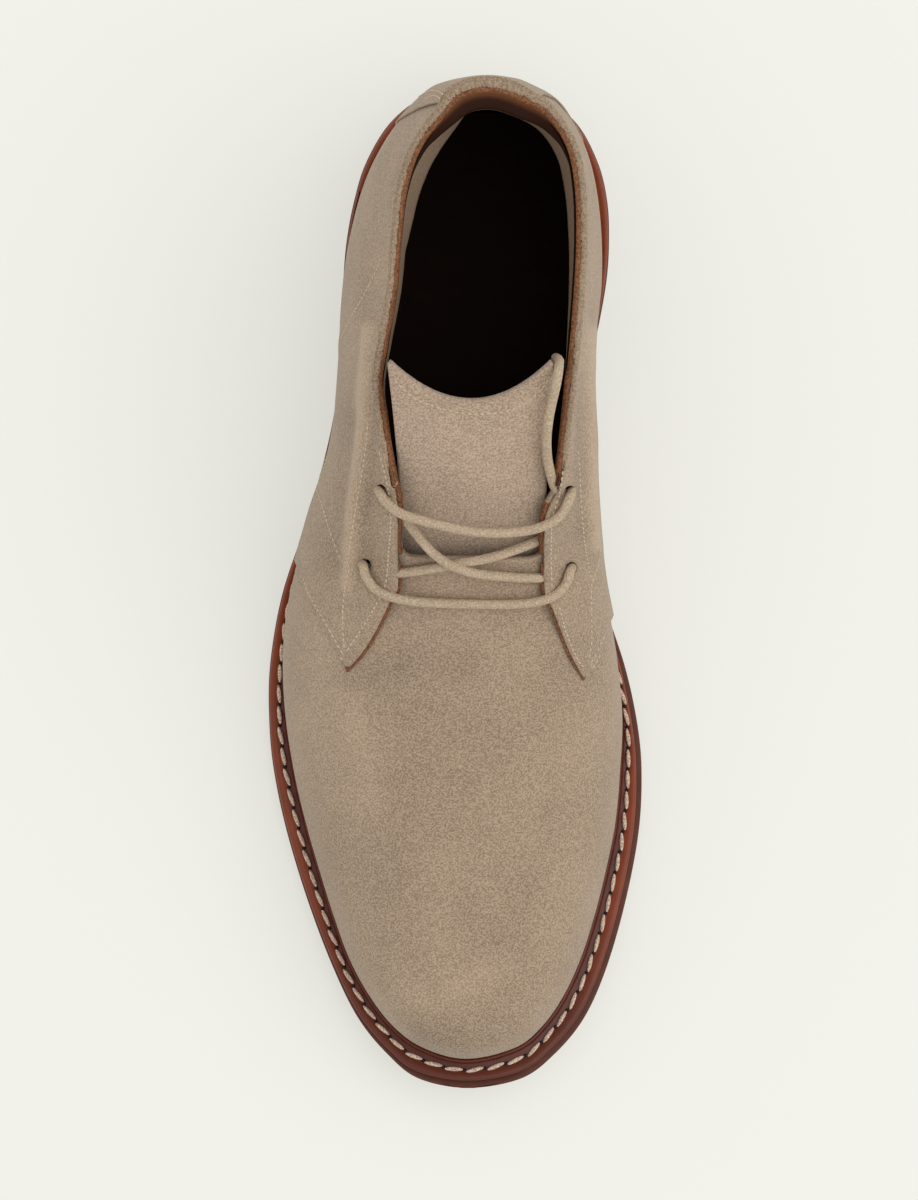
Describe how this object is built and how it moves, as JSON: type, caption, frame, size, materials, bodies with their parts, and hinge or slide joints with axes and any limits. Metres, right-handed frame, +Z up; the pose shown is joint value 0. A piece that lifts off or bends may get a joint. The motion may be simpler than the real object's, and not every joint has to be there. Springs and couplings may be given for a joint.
{
  "type": "chukka boot",
  "caption": "Low ankle boot with a hollow suede upper, open collar and throat, separate tongue, loose lace, storm welt and flat heeled sole.",
  "frame": {"origin": "centre of the footprint's box on the ground, under the arch", "axes": "+Y along the boot towards the heel, +X across towards the medial side, +Z up; the toe points to -Y"},
  "size_m": [0.1122, 0.299, 0.1289],
  "materials": {
    "outsole": "brown waxed sole edge, plain underside",
    "heel": "dark brown, satin",
    "welt": "red-brown, polished, pale stitches",
    "insole": "natural leather board",
    "upper": "taupe suede, brushed nap",
    "tongue": "taupe suede, brushed nap",
    "lace": "waxed round cord, beige"
  },
  "bodies": {
    "root": {"outsole": "outsole", "heel": "heel", "welt": "welt", "insole": "insole", "upper": "upper", "tongue": "tongue", "lace_top_bar": "lace", "lace_crossing": "lace", "lace_lower_bar": "lace", "lace_end_medial": "lace"}
  },
  "joints": []
}
